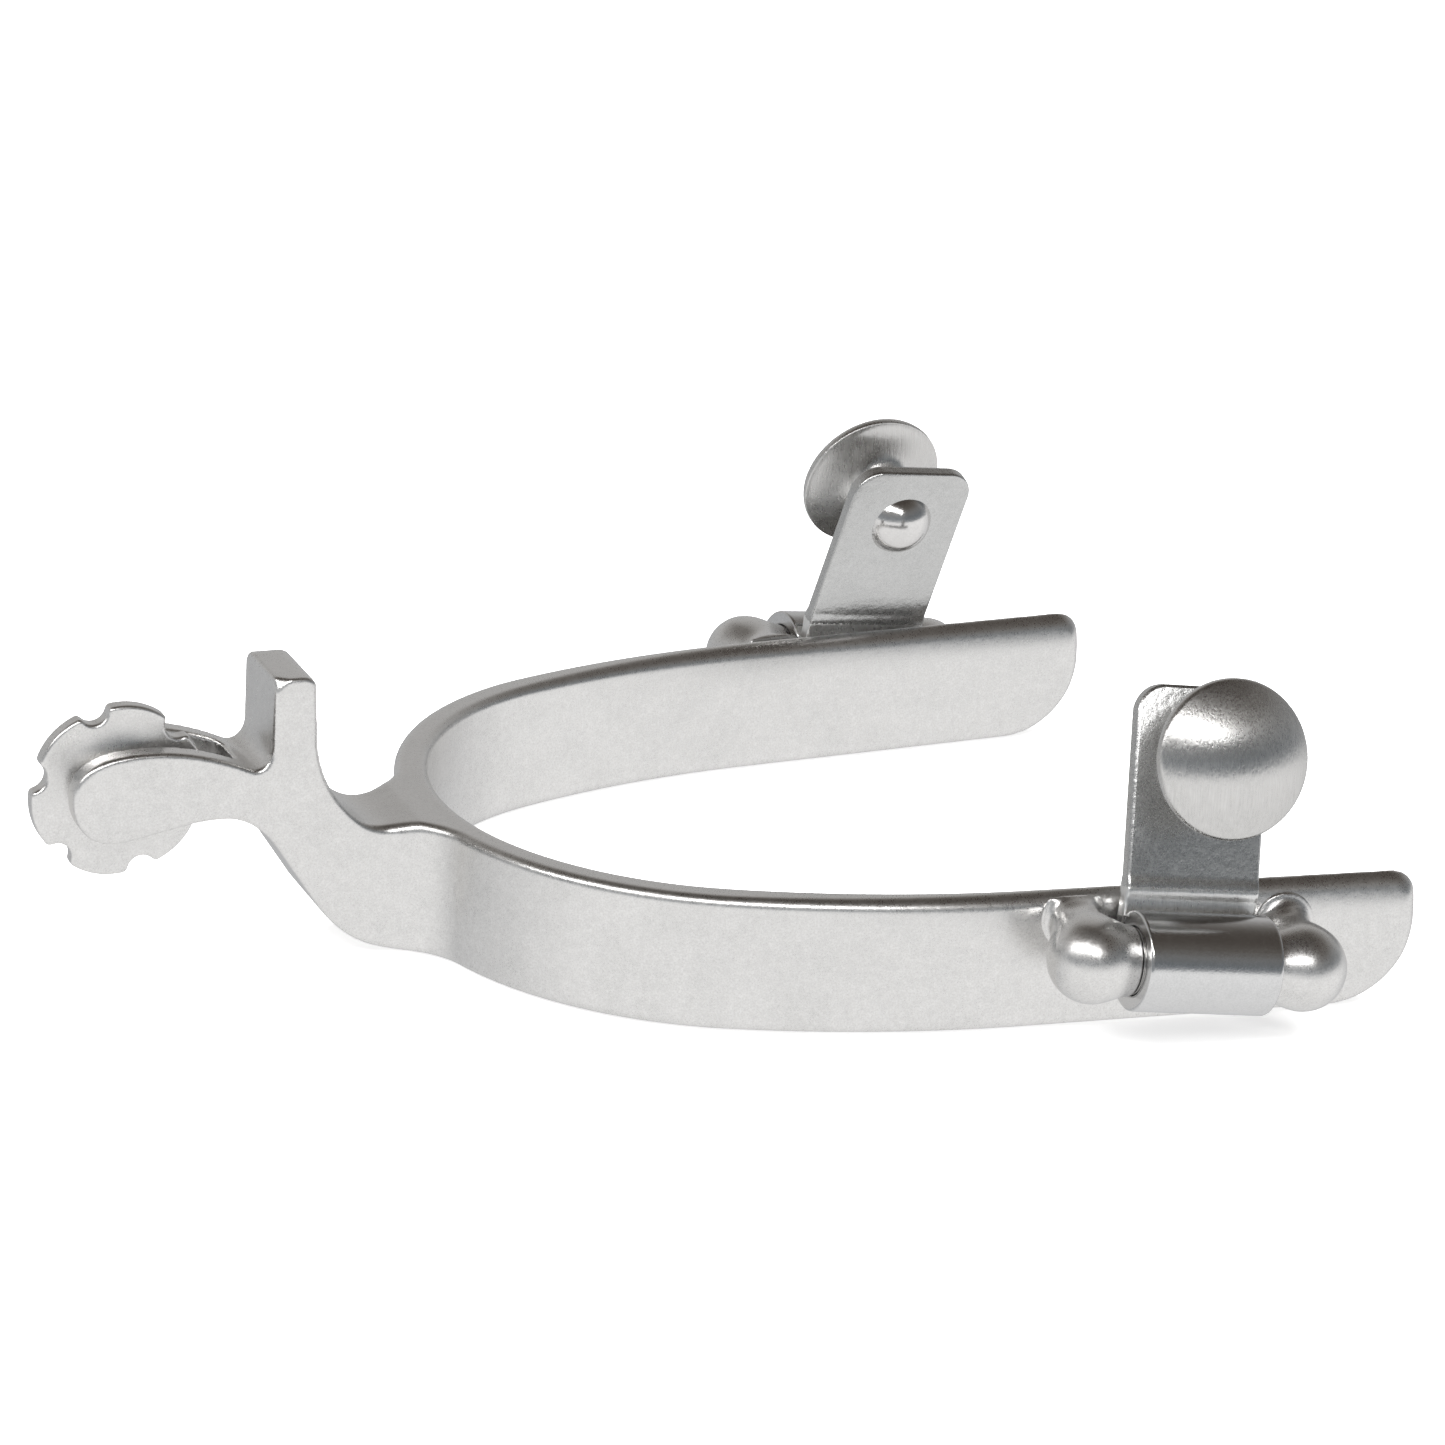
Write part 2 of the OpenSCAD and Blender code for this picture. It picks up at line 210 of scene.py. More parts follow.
def polygon(points, x, z):
    """Distance to a closed outline, negative inside."""
    nearest = np.full(np.broadcast(x, z).shape, np.inf, np.float32)
    inside = np.zeros(nearest.shape, bool)
    for (ax, az), (bx, bz) in zip(points, np.roll(points, -1, axis=0)):
        along = ((x - ax) * (bx - ax) + (z - az) * (bz - az)) / max((bx - ax) ** 2 + (bz - az) ** 2, 1e-12)
        along = np.clip(along, 0, 1)
        off = np.hypot(x - ax - along * (bx - ax), z - az - along * (bz - az))
        nearest = np.minimum(nearest, off)
        if az != bz:
            crosses = ((az > z) != (bz > z)) & (x < ax + (z - az) * (bx - ax) / (bz - az))
            inside ^= crosses
    return np.where(inside, -nearest, nearest)


def segment(ay, az, by, bz, y, z):
    """Distance to a line segment."""
    along = ((y - ay) * (by - ay) + (z - az) * (bz - az)) / ((by - ay) ** 2 + (bz - az) ** 2)
    along = np.clip(along, 0, 1)
    return np.hypot(y - ay - along * (by - ay), z - az - along * (bz - az))


# ---------------------------------------------------------------- meshes

def link(name, mesh):
    piece = bpy.data.objects.new(name, mesh)
    scene.collection.objects.link(piece)
    return piece


def sampled(values, low, cell, points):
    """Values of a grid at points between its corners."""
    at = (points - low) / cell
    base = np.clip(np.floor(at).astype(int), 0, np.array(values.shape) - 2)
    part = at - base
    total = np.zeros(len(points))
    for dx in (0, 1):
        for dy in (0, 1):
            for dz in (0, 1):
                corner = base + (dx, dy, dz)
                weight = np.abs(1 - np.array([dx, dy, dz]) - part).prod(axis=1)
                total += weight * values[corner[:, 0], corner[:, 1], corner[:, 2]]
    return total


def field_mesh(name, field, low, high, cell, place=Matrix.Identity(4)):
    """The closed surface on which a field is zero, as a piece with the field's own smooth normals."""
    low = np.array(low, float)
    counts = np.ceil((np.array(high) - low) / cell).astype(int) + 1
    x, y, z = (low[i] + cell * np.arange(counts[i], dtype=np.float32) for i in range(3))
    values = field(x[:, None, None], y[None, :, None], z[None, None, :])
    # Only the values near the surface matter
    reach = 4 * cell
    values = np.clip(np.broadcast_to(values, counts), -reach, reach).astype(np.float32)
    grid = openvdb.FloatGrid(reach)
    grid.copyFromArray(np.ascontiguousarray(values))
    points, quads = grid.convertToQuads(isovalue=0.0)
    points = points.astype(float) * cell + low

    normals = np.zeros_like(points)
    half_step = 0.7 * cell
    for axis in range(3):
        step = np.eye(3)[axis] * half_step
        normals[:, axis] = (sampled(values, low, cell, points + step)
                            - sampled(values, low, cell, points - step))
    normals /= np.maximum(np.linalg.norm(normals, axis=1), 1e-9)[:, None]

    a, b, c = (points[quads[:, i]] for i in (0, 1, 2))
    facing = (np.cross(b - a, c - a) * normals[quads[:, 0]]).sum()
    if facing < 0:
        quads = quads[:, ::-1]
    mesh = bpy.data.meshes.new(name)
    mesh.from_pydata((points * MM).tolist(), [], quads.tolist())
    mesh.shade_smooth()
    mesh.normals_split_custom_set_from_vertices(normals.tolist())
    mesh.transform(place)
    return link(name, mesh)


def widened(box, margin):
    """A box's two corners in millimetres, with a margin on every side."""
    low, high = box
    return np.array(low) / MM - margin, np.array(high) / MM + margin


def lathe_mesh(name, outline, place, steps=128):
    """A piece turned round the Z axis. outline is a list of (radius, height), first and last on the axis."""
    outline = np.array(outline, float)
    ring = np.linspace(0, 2 * math.pi, steps, endpoint=False)
    inner = outline[1:-1]
    points = [(0, 0, outline[0, 1]), (0, 0, outline[-1, 1])]
    points += [(r * math.cos(t), r * math.sin(t), h) for r, h in inner for t in ring]
    faces = []
    for k in range(steps):
        after = (k + 1) % steps
        faces.append((0, 2 + after, 2 + k))
        last = 2 + (len(inner) - 1) * steps
        faces.append((1, last + k, last + after))
        for i in range(len(inner) - 1):
            row = 2 + i * steps
            faces.append((row + k, row + after, row + steps + after, row + steps + k))
    mesh = bpy.data.meshes.new(name)
    mesh.from_pydata([tuple(c * MM for c in p) for p in points], [], faces)
    mesh.shade_smooth()
    mesh.transform(place)
    return link(name, mesh)


# ---------------------------------------------------------------- heel band

def band_place(x, y):
    """Distance outward from the band's inner face, and distance along that face from the heel."""
    y = np.abs(y)
    heel_turn = np.arctan2(y, -x)
    side_turn = np.arctan2(y - SIDE_C[1], SIDE_C[0] - x)
    on_heel = heel_turn <= HEEL_SPAN
    on_side = ~on_heel & (side_turn <= HEEL_SPAN + SIDE_SPAN)
    dx, dy = x - ARM_START[0], y - ARM_START[1]
    out = np.where(
        on_heel, np.hypot(x, y) - HEEL_R,
        np.where(on_side, np.hypot(x - SIDE_C[0], y - SIDE_C[1]) - SIDE_R,
                 dy * math.cos(FLARE) - dx * math.sin(FLARE)))
    along = np.where(
        on_heel, HEEL_R * heel_turn,
        np.where(on_side, HEEL_R * HEEL_SPAN + SIDE_R * (side_turn - HEEL_SPAN),
                 ARM_S + dx * math.cos(FLARE) + dy * math.sin(FLARE)))
    return out, along


def shank_outline():
    """Side view of the shank, fork and guard, in X and Z."""
    def at(x, z):
        return np.array([x, z])

    x, z = AXLE_X, AXLE_Z
    guard_x = -GUARD_REACH
    front_x = guard_x + GUARD_T
    valley = at(x + 14.2, z + 3.2)
    crown = at(x + 2.1, z + 6)
    nose = at(x - 6.7, z + 0.8)
    chin = at(x - 1.9, z - 4.7)
    armpit = at(x + 11.1, z - 2.8)
    drop_top = at(x + 17.8, z - 6.9)
    drop_low = at(x + 22.9, -1.5)
    band_low = at(-OUTER_R - 1.65, -HALF_H)
    band_top = at(-OUTER_R - 1.15, HALF_H)
    saddle = at(front_x + 5.7, HALF_H + 0.5)
    guard_low = at(front_x + 0.3, HALF_H + 11)
    return np.concatenate([
        curve(at(guard_x + 0.05, z + 5.5), at(guard_x + 0.05, z + 3.9), valley + at(1.6, -0.75), valley),
        curve(valley, valley + at(-2.6, 1.2), crown + at(5, 0.05), crown),
        curve(crown, crown + at(-4.8, 0.05), nose + at(-0.05, 4.1), nose),
        curve(nose, nose + at(0, -3), chin + at(-2.8, 0), chin),
        curve(chin, chin + at(3.5, 0), armpit + at(-5, 0), armpit),
        curve(armpit, armpit + at(3, 0), drop_top + at(-1.4, 2.1), drop_top),
        curve(drop_low, drop_low + at(2.9, -4), band_low + at(-5, 0), band_low),
        [band_low, (-HEEL_R, -HALF_H), (-HEEL_R, HALF_H)],
        curve(band_top, band_top + at(-3, -0.55), saddle + at(2.3, -1.7), saddle),
        curve(saddle, saddle + at(-2.5, 1.9), guard_low + at(0.3, -5.2), guard_low),
        curve(at(front_x, GUARD_TOP - 1.8), at(front_x, GUARD_TOP - 0.7), at(front_x - 0.7, GUARD_TOP),
              at(front_x - 1.8, GUARD_TOP)),
        [(front_x - 1.8, GUARD_TOP), (guard_x, GUARD_TOP)],
    ])


def facet_field(x, y, z):
    """Outside of the small flat ground on the guard's rear right upper corner."""
    run_x, run_y, run_z = FACET
    steep = math.hypot(1 / run_x, 1 / run_y, 1 / run_z)
    cut = (1 - (x + GUARD_REACH) / run_x - (y + SHANK_W / 2) / run_y - (GUARD_TOP - z) / run_z) / steep
    return np.where(x > -GUARD_REACH - 1, cut, -FAR)


def shank_field(x, y, z):
    radius = np.hypot(x, y)
    plan = either(np.abs(y) - SHANK_W / 2, radius - OUTER_R, NECK_FILLET_R)
    plan = np.maximum(plan, HEEL_R + BAND_T / 2 - radius)
    edge = SHANK_ROUND + (BAND_ROUND - SHANK_ROUND) * eased((x - ROUND_GROWS_X) / ROUND_GROWS_LEN)
    side = polygon(shank_outline(), x, z)
    corners = np.maximum(both(y - SHANK_W / 2, z - GUARD_TOP, GUARD_ROUND), facet_field(x, y, z))
    plan = np.maximum(plan, np.where(z > HALF_H + GUARD_FOOT_Z, corners, -FAR))
    slot = both(np.abs(y) - SLOT_W / 2, x - AXLE_X - SLOT_DEPTH, SLOT_CORNER_R)
    axle = np.maximum(np.hypot(x - AXLE_X, z - AXLE_Z) - AXLE_R, np.abs(y) - PIN_HOLE_Y)
    shank = both(both(side, plan, edge), -slot, SLOT_ROUND)
    return np.maximum(shank, -axle)


def heel_band_field(x, y, z):
    out, along = band_place(x, y)
    past_tip = along - ARM_S - ARM_LEN
    # Both faces of the arms fall away towards the top edge, more and more towards the tips
    grown = np.clip(1 + past_tip / (ARM_LEN + CROWN_LEAD), 0, 1)
    crown = CROWN * grown * np.maximum(z - CROWN_Z, 0) ** 2
    wall = np.abs(out - BAND_T / 2) - BAND_T / 2 + crown
    # The upper edges are rounder towards the tips as well
    upper = np.clip(0.3 + z / HALF_H, 0, 1)
    edge = BAND_ROUND + (TIP_ROUND - BAND_ROUND) * grown * upper
    side = np.maximum(both(past_tip, z - HALF_H, TIP_TOP_R), both(past_tip, -z - HALF_H, TIP_LOW_R))
    return np.minimum(both(wall, side, edge), shank_field(x, y, z))


def make_heel_band():
    low, high = widened(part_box("heel_band"), 1.5)
    band = field_mesh("heel_band_forged", heel_band_field, low, high, BAND_CELL)
    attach(band, "spur_body")
    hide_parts("heel_band")
    return band


# ---------------------------------------------------------------- rowel

def rowel_field(x, y, z):
    dx, dz = x - AXLE_X, z - AXLE_Z
    radius = np.hypot(dx, dz)
    # Every point is turned into the first lobe's sector
    pitch = 2 * math.pi / ROWEL_LOBES
    turn = np.arctan2(dz, dx) - ROWEL_TURN
    turn = np.abs((turn + pitch / 2) % pitch - pitch / 2)
    across, up = radius * np.cos(turn), radius * np.sin(turn)
    lobe = np.hypot(across - ROWEL_R + LOBE_R, up) - LOBE_R
    notch_x = NOTCH_FLOOR + NOTCH_R
    notch = np.hypot(across - notch_x * math.cos(pitch / 2), up - notch_x * math.sin(pitch / 2)) - NOTCH_R
    outline = both(lobe, -notch, NOTCH_LIP_R)
    climb = np.clip((DISH_R - radius) / (DISH_R - HUB_R), 0, 1)
    half = RIM_T / 2 + (HUB_T / 2 - RIM_T / 2) * climb * climb
    body = both(np.abs(y) - half, outline, RIM_ROUND)
    return np.maximum(body, AXLE_R + RUN - radius)


def make_rowel():
    low, high = widened(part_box("rowel"), 1.0)
    wheel = field_mesh("rowel_wheel_dished", rowel_field, low, high, ROWEL_CELL)
    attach(wheel, "rowel_wheel")
    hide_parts("rowel")
    return wheel


def make_rowel_pin():
    bevel = 0.2
    end = [(0, -PIN_END_Y), (AXLE_R - bevel, -PIN_END_Y), (AXLE_R, -PIN_END_Y + bevel)]
    outline = end + [(r, -h) for r, h in reversed(end)]
    place = Matrix.Translation(Vector((AXLE_X, 0, AXLE_Z)) * MM) @ Matrix.Rotation(math.pi / 2, 4, "X")
    pin = lathe_mesh("rowel_pin_ground", outline, place, 48)
    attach(pin, "spur_body")
    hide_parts("rowel_pin")
    return pin


# ---------------------------------------------------------------- hinges

def hinge_place(side, lean=0.0):
    """The frame of a hinge: X along its pin towards the toe, Y outward, Z up."""
    joint = joints[f"{side}_hanger_swing"]
    forward = Vector(joint["axis"]) * (1 if joint["axis"][0] > 0 else -1)
    sign = 1 if side == "left" else -1
    out = Vector((-math.sin(FLARE), sign * math.cos(FLARE), 0))
    up = forward.cross(out) * sign
    turned = Matrix.Rotation(lean * sign, 3, forward)
    out, up = turned @ out, turned @ up
    place = Matrix((forward, out, up)).transposed().to_4x4()
    place.translation = Vector(joint["pos_m"])
    return place


def lug_field(end, place):
    """A ball with a collar towards the hanger, and a neck that flares into the band, flush with its top."""
    tilt = math.atan2(LUG_NECK_RISE, HINGE_GAP)
    rise_x, rise_y, rise_z = place.to_3x3()[2]
    height = place.translation.z / MM

    def field(x, y, z):
        ball = np.sqrt((x - end * BALL_X) ** 2 + y * y + z * z) - BALL_R
        # The neck's line leaves the ball's centre towards the band
        along = z * math.sin(tilt) - y * math.cos(tilt)
        lift = y * math.sin(tilt) + z * math.cos(tilt)
        off_line = np.hypot(x - end * BALL_X, lift)
        neck = np.maximum(off_line - LUG_NECK_R, -along)
        collar = np.maximum(np.hypot(y, z) - COLLAR_R, end * x - BALL_X)
        lug = either(either(ball, collar, COLLAR_WELD_R), neck, NECK_WELD_R)
        lug = either(lug, y + HINGE_GAP, FOOT_WELD_R)
        # The fillet's half space ends at its own rim, and just inside the band's face
        skirt = np.minimum(off_line - LUG_NECK_R - FOOT_WELD_R, FOOT_WELD_R - HINGE_GAP - y)
        lug = np.maximum(lug, skirt)
        lug = np.maximum(lug, -HINGE_GAP - FOOT_SINK - y)
        top = height + rise_x * x + rise_y * y + rise_z * z - HALF_H
        lug = both(lug, top, LUG_TOP_ROUND)
        lug = both(lug, LUG_FACE_X - end * x, LUG_FACE_ROUND)
        hole = np.maximum(np.hypot(y, z) - SPIGOT_R, end * x - SPIGOT_END_X)
        return np.maximum(lug, -hole)
    return field


def make_lug(side, end_name):
    end = 1 if end_name == "front" else -1
    node = f"{side}_{end_name}_lug"
    mid = end * BALL_X
    place = hinge_place(side)
    low = (mid - BALL_R - 1.5, -HINGE_GAP - 1.5, -BALL_R - 1)
    high = (mid + BALL_R + 1.5, BALL_R + 1, BALL_R + 3.5)
    lug = field_mesh(node + "_welded", lug_field(end, place), low, high, HINGE_CELL, place)
    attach(lug, "spur_body")
    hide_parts(node)
    return lug


# ---------------------------------------------------------------- hangers, buttons and rivets

def hanger_field(x, y, z):
    mid_r = EYE_R + SHEET_T / 2
    plate_y = -PLATE_OFFSET - SHEET_T / 2
    bend_dist = math.hypot(plate_y, BEND_Z)
    strip_len = math.sqrt(bend_dist**2 - mid_r**2)
    strip_turn = math.asin(mid_r / bend_dist) - math.atan2(-plate_y, BEND_Z)
    foot_y = plate_y - strip_len * math.sin(strip_turn)
    foot_z = BEND_Z - strip_len * math.cos(strip_turn)
    plate = segment(plate_y, BEND_Z, plate_y, HANGER_H + 2, y, z) - SHEET_T / 2
    strip = segment(plate_y, BEND_Z, foot_y, foot_z, y, z) - SHEET_T / 2
    # The eye runs from the strip round below the pin to its lip
    angle = np.arctan2(z, y) % (2 * math.pi)
    on_eye = (angle >= math.pi - strip_turn) | (angle <= LIP_ANGLE)
    eye = np.abs(np.hypot(y, z) - mid_r) - SHEET_T / 2
    lip_y, lip_z = mid_r * math.cos(LIP_ANGLE), mid_r * math.sin(LIP_ANGLE)
    lip = np.hypot(y - lip_y, z - lip_z) - SHEET_T / 2
    eye = np.where(on_eye, eye, lip)
    sheet = np.minimum(either(plate, strip, BEND_ROUND), np.minimum(eye, strip))
    outline = both(np.abs(x) - HANGER_W / 2, z - HANGER_H, PLATE_CORNER_R)
    hole = RIVET_R - np.hypot(x, z - BUTTON_Z)
    hole = np.where(y < 0, hole, -1)
    return np.maximum(both(sheet, outline, SHEET_ROUND), hole)


def make_hanger(side):
    low = (-HANGER_W / 2 - 1, -EYE_R - SHEET_T - 1.5, -EYE_R - SHEET_T - 1)
    high = (HANGER_W / 2 + 1, EYE_R + SHEET_T + 1, HANGER_H + 1)
    place = hinge_place(side, LEAN)
    hanger = field_mesh(f"{side}_hanger_rolled", hanger_field, low, high, HINGE_CELL, place)
    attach(hanger, f"{side}_strap_hanger")
    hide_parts(f"{side}_hanger")
    return hanger


def button_outline():
    """Half section of the button: a foot, a waisted neck and a domed head, from the plate outward."""
    dome_r = (HEAD_R**2 + DOME_Z**2) / (2 * DOME_Z)
    top = HEAD_Z + HEAD_RIM
    apex = top + DOME_Z
    span = math.asin(HEAD_R / dome_r)
    edge = 0.35
    foot = [(0, FOOT_R), (RIVET_R, FOOT_R), (RIVET_R, 0), (FOOT_R - 0.1, 0)]
    waist = curve((FOOT_R, 0.2), (FOOT_R, 0.9), (BUTTON_NECK_R, 1.4), (BUTTON_NECK_R, 3.4), 16)
    cup = curve((BUTTON_NECK_R, 3.4), (BUTTON_NECK_R, 6.6), (HEAD_R - 3.4, HEAD_Z - 1.3),
                (HEAD_R - edge, HEAD_Z - 0.05), 24)
    rim = curve((HEAD_R - edge, HEAD_Z - 0.05), (HEAD_R, HEAD_Z),
                (HEAD_R, HEAD_Z), (HEAD_R, HEAD_Z + edge), 6)
    turn = span * (1 - np.linspace(0.02, 1, 32))
    dome = [(dome_r * math.sin(t), apex - dome_r * (1 - math.cos(t))) for t in turn]
    return foot + [tuple(p) for p in [*waist, *cup, *rim]] + [(HEAD_R, top - edge)] + dome


def make_button(side):
    place = (hinge_place(side, LEAN)
             @ Matrix.Translation(Vector((0, -PLATE_OFFSET, BUTTON_Z)) * MM)
             @ Matrix.Rotation(-math.pi / 2, 4, "X"))
    button = lathe_mesh(f"{side}_button_turned", button_outline(), place)
    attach(button, f"{side}_strap_hanger")
    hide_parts(f"{side}_button")
    return button


# ---------------------------------------------------------------- materials

# The stretches of the mixed noise over which the tint and the roughness change
TINT_SPAN = 0.34, 0.66
ROUGH_SPAN = 0.36, 0.62


def node_of(nodes, kind, **inputs):
    made = nodes.new(kind)
    for name, value in inputs.items():
        made.inputs[name.replace("_", " ")].default_value = value
    return made


def noise_of(nodes, links, vector, scale, detail):
    made = node_of(nodes, "ShaderNodeTexNoise", Scale=scale, Detail=detail, Roughness=0.6)
    links.new(vector, made.inputs["Vector"])
    return made.outputs["Fac"]


def weighted(nodes, links, value, weight, rest=None):
    """value times weight, plus the rest."""
    made = nodes.new("ShaderNodeMath")
    made.operation = "MULTIPLY_ADD"
    links.new(value, made.inputs[0])
    made.inputs[1].default_value = weight
    made.inputs[2].default_value = 0
    if rest:
        links.new(rest, made.inputs[2])
    return made.outputs[0]


def bumped(nodes, links, height, strength, distance, normal=None):
    made = node_of(nodes, "ShaderNodeBump", Strength=strength, Distance=distance)
    links.new(height, made.inputs["Height"])
    if normal:
        links.new(normal, made.inputs["Normal"])
    return made.outputs[0]


def bow_height(nodes, links, at, origin, towards, curvature):
    """A surface that falls away more and more from the origin on, as sheet does that was bent by hand."""
    along = nodes.new("ShaderNodeVectorMath")
    along.operation = "DOT_PRODUCT"
    shifted = nodes.new("ShaderNodeVectorMath")
    shifted.operation = "SUBTRACT"
    links.new(at, shifted.inputs[0])
    shifted.inputs[1].default_value = origin
    links.new(shifted.outputs[0], along.inputs[0])
    along.inputs[1].default_value = towards
    ahead = nodes.new("ShaderNodeMath")
    ahead.operation = "MAXIMUM"
    links.new(along.outputs["Value"], ahead.inputs[0])
    ahead.inputs[1].default_value = 0
    square = nodes.new("ShaderNodeMath")
    square.operation = "MULTIPLY"
    links.new(ahead.outputs[0], square.inputs[0])
    links.new(ahead.outputs[0], square.inputs[1])
    return weighted(nodes, links, square.outputs[0], -curvature)


def steel(name, colour, rough, stretch=(1, 1, 1), grain=0.25, mottle=0.15, speckle=0.14, bow=None,
          drawn=0.0):
    """Steel with fine grain stretched along the way it was brushed, mottling and cloudy patches.

    bow is for bow_height. drawn widens the highlights across the brushing.
    """
    made = bpy.data.materials.new(name)
    made.use_nodes = True
    nodes, links = made.node_tree.nodes, made.node_tree.links
    nodes.clear()
    out = nodes.new("ShaderNodeOutputMaterial")
    shader = node_of(nodes, "ShaderNodeBsdfPrincipled", Metallic=1.0)
    links.new(shader.outputs[0], out.inputs["Surface"])
    if drawn:
        along = node_of(nodes, "ShaderNodeCombineXYZ", X=1.0)
        links.new(along.outputs[0], shader.inputs["Tangent"])
        shader.inputs["Anisotropic"].default_value = drawn
    at = nodes.new("ShaderNodeTexCoord").outputs["Object"]
    mapping = nodes.new("ShaderNodeMapping")
    mapping.inputs["Scale"].default_value = stretch
    links.new(at, mapping.inputs["Vector"])
    fine = noise_of(nodes, links, mapping.outputs[0], 4800.0, 2.0)
    blotch = noise_of(nodes, links, at, 1100.0, 3.0)
    cloud = noise_of(nodes, links, at, 180.0, 3.0)
    tone = weighted(nodes, links, cloud, 0.2)
    tone = weighted(nodes, links, blotch, 0.25, tone)
    tone = weighted(nodes, links, fine, 0.55, tone)

    tint = nodes.new("ShaderNodeValToRGB")
    for element, place, share in zip(tint.color_ramp.elements, TINT_SPAN, (1 - speckle, 1)):
        element.position = place
        element.color = (*(c * share for c in colour), 1)
    links.new(tone, tint.inputs["Fac"])
    links.new(tint.outputs["Color"], shader.inputs["Base Color"])

    spread = nodes.new("ShaderNodeMapRange")
    spread.inputs["From Min"].default_value, spread.inputs["From Max"].default_value = ROUGH_SPAN
    spread.inputs["To Min"].default_value, spread.inputs["To Max"].default_value = rough * 0.85, rough * 1.15
    links.new(tone, spread.inputs["Value"])
    links.new(spread.outputs[0], shader.inputs["Roughness"])

    normal = None
    if bow:
        normal = bumped(nodes, links, bow_height(nodes, links, at, *bow), 1.0, 1.0)
    normal = bumped(nodes, links, blotch, mottle, 0.0001, normal)
    normal = bumped(nodes, links, fine, grain, 0.00003, normal)
    links.new(normal, shader.inputs["Normal"])
    return made


def paint(piece, material):
    piece.data.materials.clear()
    piece.data.materials.append(material)


def paint_hanger(hanger, side, materials):
    """The rolled eye, the strip above it and the plate above the bend each get a material; the strip's is the same
    sheet painted lighter, a painted highlight for the light the strip reflects.
    """
    paint(hanger, materials[0])
    for material in materials[1:]:
        hanger.data.materials.append(material)
    upright = hinge_place(side, LEAN).inverted()
    for face in hanger.data.polygons:
        at = upright @ face.center / MM
        # Faces on the strip get the lighter material, which carries the painted highlight
        on_strip = at.z > STRIP_LOW_Z and at.y < -PLATE_OFFSET / 2
        face.material_index = 2 if at.z > BEND_Z else int(on_strip)


# ---------------------------------------------------------------- stage

def make_camera():
    """The camera stands left of the heel, a little above, and leans slightly."""
    azimuth, elevation, roll = math.radians(-22.99), math.radians(20.0), math.radians(3.52)
    target = Vector((-1.917, 0, 14.88)) * MM
    distance = 0.70619
    back = Vector((math.sin(azimuth) * math.cos(elevation), -math.cos(azimuth) * math.cos(elevation),
                   math.sin(elevation)))
    across = Vector((0, 0, 1)).cross(back).normalized()
    up = back.cross(across)
    right = across * math.cos(roll) + up * math.sin(roll)
    top = up * math.cos(roll) - across * math.sin(roll)
    camera = bpy.data.objects.new("camera", bpy.data.cameras.new("camera"))
    scene.collection.objects.link(camera)
    place = Matrix((right, top, back)).transposed().to_4x4()
    place.translation = target + back * distance
    camera.matrix_world = place
    camera.data.lens = 147.0
    camera.data.sensor_width = 36
    camera.data.clip_start, camera.data.clip_end = 0.01, 20
    scene.camera = camera


def direction(azimuth, elevation):
    a, e = math.radians(azimuth), math.radians(elevation)
    return Vector((math.sin(a) * math.cos(e), -math.cos(a) * math.cos(e), math.sin(e)))


def softbox(name, azimuth, elevation, distance, size, power, shown=True):
    lamp = bpy.data.lights.new(name, "AREA")
    lamp.shape = "RECTANGLE"
    lamp.size, lamp.size_y = size
    lamp.energy = power
    light = bpy.data.objects.new(name, lamp)
    scene.collection.objects.link(light)
    towards = direction(azimuth, elevation)
    light.location = towards * distance
    light.rotation_mode = "QUATERNION"
    light.rotation_quaternion = towards.to_track_quat("Z", "Y")
    light.visible_glossy = shown
    light.visible_camera = False


def ramp_of(nodes, links, fac, stops):
    """A colour ramp over heights from -1 to 1."""
    made = nodes.new("ShaderNodeValToRGB")
    links.new(fac, made.inputs["Fac"])
    elements = made.color_ramp.elements
    while len(elements) < len(stops):
        elements.new(0.5)
    for element, (height, colour) in zip(elements, stops):
        element.position = (height + 1) / 2
        element.color = (*colour, 1)
    return made.outputs["Color"]


